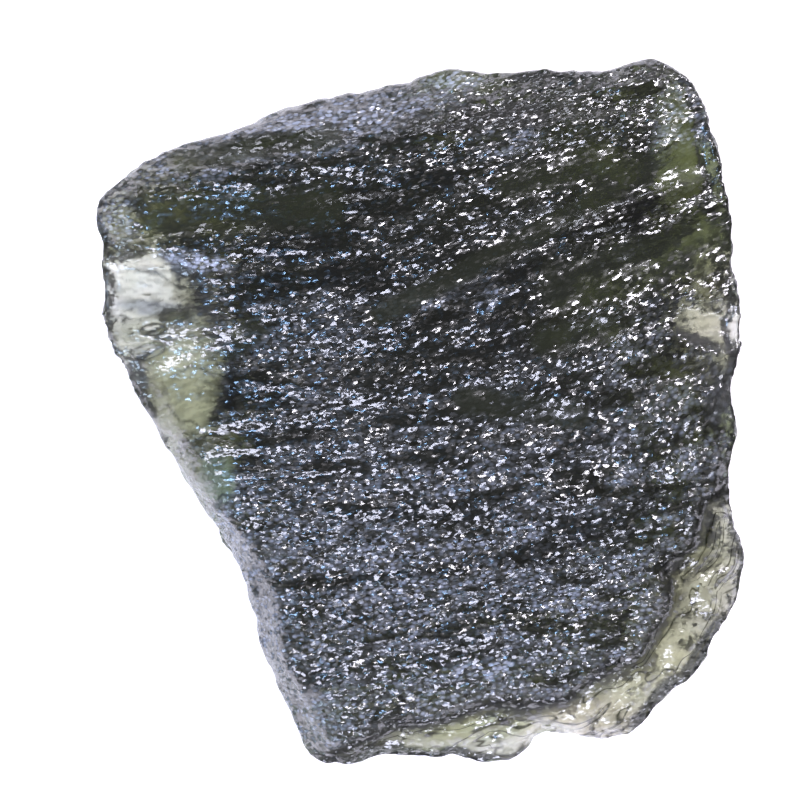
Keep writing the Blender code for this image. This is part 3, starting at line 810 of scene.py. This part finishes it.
def scale_normal(nodes, cells):
    """The normal with each etched scale leaning its own way on soft waves, and lifted towards the sky."""
    no_lean = (0.5, 0.5, 0.5)
    tilt = nodes.attribute("tilt", "Vector")
    soft = nodes.noise(nodes.attribute("cells", "Vector"), WAVE_SCALE, WAVE_DETAIL)
    lean = nodes.vector("MULTIPLY", nodes.vector("SUBTRACT", cells.outputs["Color"], no_lean), tilt)
    wave = nodes.vector("MULTIPLY", nodes.vector("SUBTRACT", soft.outputs["Color"], no_lean), tilt)
    wave = nodes.vector("MULTIPLY", wave, (WAVE_REACH, WAVE_REACH, WAVE_REACH))
    facing = nodes.add("ShaderNodeNewGeometry").outputs["Normal"]
    leaning = nodes.vector("ADD", facing, nodes.vector("ADD", lean, wave))
    lift = nodes.add("ShaderNodeCombineXYZ")
    nodes.link(nodes.attribute("lift"), lift.inputs["Z"])
    return nodes.vector("NORMALIZE", nodes.vector("ADD", leaning, lift.outputs["Vector"]))


def grain_haze_and_highlight(nodes, cells):
    """How matt each etched scale is, with a painted highlight: the haze times a share of its own, brightest in
    the scale's middle.
    """
    share = nodes.add("ShaderNodeSeparateColor")
    nodes.link(cells.outputs["Color"], share.inputs["Color"])
    blob = nodes.ramp(cells.outputs["Distance"], (0.0, 1.0), SCALE_MIDDLE_HIGHLIGHT, 0.0)
    return nodes.math("MULTIPLY", nodes.attribute("haze"), nodes.math("MULTIPLY", share.outputs["Blue"], blob))


def line_darkness(nodes):
    """1 on the thin flow lines of the flange, which follow evenly spaced levels of a wavy noise."""
    swirl = nodes.noise(nodes.attribute("lined", "Vector"), 1.0, LINE_DETAIL, LINE_ROUGHNESS)
    level = nodes.math("FRACT", nodes.math("MULTIPLY", swirl.outputs["Fac"], LINE_COUNT))
    from_line = nodes.math("ABSOLUTE", nodes.math("SUBTRACT", level, 0.5))
    line = nodes.ramp(from_line, LINE_EDGES, 1.0, 0.0, "SMOOTHSTEP")
    return nodes.math("MULTIPLY", line, nodes.attribute("lines"))


def skin_colour(nodes, grains):
    """The tint, paler and bluer on matt scales where highlights are painted, and nearly black on the flange's
    flow lines.
    """
    tint = nodes.blended(grains, nodes.attribute("tint", "Color"), HAZE_AND_HIGHLIGHT_TINT)
    return nodes.blended(line_darkness(nodes), tint, LINE_TINT)


def coat_weight(nodes):
    """A full coat on top, and less of it on the walls and in their hollows."""
    hollows = nodes.math("MULTIPLY", nodes.attribute("cavity"), HOLLOW_COAT_LOSS)
    loss = nodes.math("MULTIPLY", nodes.attribute("skirt"), nodes.math("ADD", hollows, WALL_COAT_LOSS))
    return nodes.math("SUBTRACT", 1.0, loss)


def clearness(nodes, grains):
    """Nearly all light goes through, and less of it on matt scales, which take painted highlights, and on the
    walls.
    """
    clear = nodes.math("SUBTRACT", CLEARNESS, nodes.math("MULTIPLY", grains, HAZE_DULLNESS))
    return nodes.math("SUBTRACT", clear, nodes.math("MULTIPLY", nodes.attribute("skirt"), WALL_DULLNESS))


def glass():
    """Dark olive glass: clear, softly etched, and coloured by what it absorbs on the way through."""
    material = bpy.data.materials.new("moldavite_glass")
    nodes = Nodes(material)
    cells = nodes.add("ShaderNodeTexVoronoi", feature="F1")
    cells.inputs["Scale"].default_value = 1.0
    nodes.link(nodes.attribute("cells", "Vector"), cells.inputs["Vector"])
    normal = scale_normal(nodes, cells)
    # Matt scales with painted highlights, brightest in each scale's middle
    grains = grain_haze_and_highlight(nodes, cells)
    roughness = nodes.math("ADD", nodes.math("MULTIPLY", nodes.attribute("haze"), HAZE_ROUGHNESS), ROUGHNESS)

    shader = nodes.shader
    shader.inputs["IOR"].default_value = GLASS_IOR
    shader.inputs["Coat Roughness"].default_value = COAT_ROUGHNESS
    nodes.link(normal, shader.inputs["Normal"])
    nodes.link(normal, shader.inputs["Coat Normal"])
    nodes.link(skin_colour(nodes, grains), shader.inputs["Base Color"])
    nodes.link(roughness, shader.inputs["Roughness"])
    nodes.link(coat_weight(nodes), shader.inputs["Coat Weight"])
    nodes.link(clearness(nodes, grains), shader.inputs["Transmission Weight"])

    absorption = nodes.add("ShaderNodeVolumeAbsorption")
    absorption.inputs["Color"].default_value = ABSORPTION_COLOUR
    absorption.inputs["Density"].default_value = ABSORPTION_DENSITY
    nodes.link(absorption.outputs["Volume"], nodes.output.inputs["Volume"])
    return material


def make_stone():
    stone = smooth_copy()
    thin_underside(stone)
    refine_pits(stone)
    skin = read_skin(stone)
    read_patterns(skin)
    add_relief(stone, skin)
    store_skin(stone.data, skin)
    stone.data.shade_smooth()
    stone.data.materials.clear()
    stone.data.materials.append(glass())
    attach(stone, "root")
    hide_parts("moldavite")


def make_floor():
    mesh = bpy.data.meshes.new("floor")
    shape = bmesh.new()
    bmesh.ops.create_grid(shape, x_segments=1, y_segments=1, size=FLOOR_HALF_SIZE)
    shape.to_mesh(mesh)
    shape.free()
    floor = bpy.data.objects.new("floor", mesh)
    bpy.context.scene.collection.objects.link(floor)
    material = bpy.data.materials.new("pale_floor")
    material.use_nodes = True
    shader = material.node_tree.nodes["Principled BSDF"]
    shader.inputs["Base Color"].default_value = FLOOR_COLOUR
    shader.inputs["Emission Color"].default_value = FLOOR_GLOW_COLOUR
    shader.inputs["Emission Strength"].default_value = FLOOR_GLOW
    shader.inputs["Roughness"].default_value = FLOOR_ROUGHNESS
    shader.inputs["Specular IOR Level"].default_value = FLOOR_SPECULAR
    mesh.materials.append(material)


def make_sky():
    """A sky that is dim overhead and brighter low down."""
    world = bpy.data.worlds.new("studio")
    world.use_nodes = True
    tree = world.node_tree
    background = tree.nodes["Background"]
    place = tree.nodes.new("ShaderNodeTexCoord")
    split = tree.nodes.new("ShaderNodeSeparateXYZ")
    ramp = tree.nodes.new("ShaderNodeMapRange")
    ramp.interpolation_type = "SMOOTHSTEP"
    ramp.inputs["From Min"].default_value = SKY_OVERHEAD_HEIGHT
    ramp.inputs["From Max"].default_value = SKY_LOW_HEIGHT
    ramp.inputs["To Min"].default_value = SKY_OVERHEAD
    ramp.inputs["To Max"].default_value = SKY_LOW
    tree.links.new(place.outputs["Generated"], split.inputs["Vector"])
    tree.links.new(split.outputs["Z"], ramp.inputs["Value"])
    tree.links.new(ramp.outputs["Result"], background.inputs["Strength"])
    background.inputs["Color"].default_value = SKY_COLOUR
    bpy.context.scene.world = world


def make_light(name, bearing, elevation, sides, power, colour):
    """A soft rectangular light that faces the stone from a bearing and an elevation in degrees."""
    lamp = bpy.data.lights.new(name, "AREA")
    lamp.shape = "RECTANGLE"
    lamp.size, lamp.size_y = sides
    lamp.energy = power
    lamp.color = colour
    light = bpy.data.objects.new(name, lamp)
    turn, tilt = math.radians(bearing), math.radians(elevation)
    towards = Vector((math.cos(turn) * math.cos(tilt), math.sin(turn) * math.cos(tilt), math.sin(tilt)))
    light.location = towards * LIGHT_DISTANCE
    light.rotation_euler = (-towards).to_track_quat("-Z", "Y").to_euler()
    bpy.context.scene.collection.objects.link(light)


def make_camera():
    """Nearly straight above the stone, with the photograph's frame at the height of the stone's edge."""
    camera_data = bpy.data.cameras.new("camera")
    camera_data.lens = CAMERA_LENS
    camera_data.sensor_width = CAMERA_SENSOR
    camera_data.clip_start = CAMERA_CLIP
    camera = bpy.data.objects.new("camera", camera_data)
    bpy.context.scene.collection.objects.link(camera)
    half = FRAME_PIXELS / 2.0
    across, down = STONE_MIDDLE_PIXEL
    target = Vector(((half - across) * PIXEL, (down - half) * PIXEL, FOCUS_HEIGHT))
    distance = half * PIXEL / math.tan(camera_data.angle / 2.0)
    tilt = math.radians(CAMERA_ELEVATION)
    back = Vector((0.0, -math.cos(tilt), math.sin(tilt)))
    camera.location = target + back * distance
    camera.rotation_euler = (-back).to_track_quat("-Z", "Y").to_euler()
    bpy.context.scene.camera = camera


make_stone()
make_floor()
make_sky()
for light_values in LIGHTS:
    make_light(*light_values)
make_camera()
bpy.context.scene.view_settings.view_transform = "Standard"
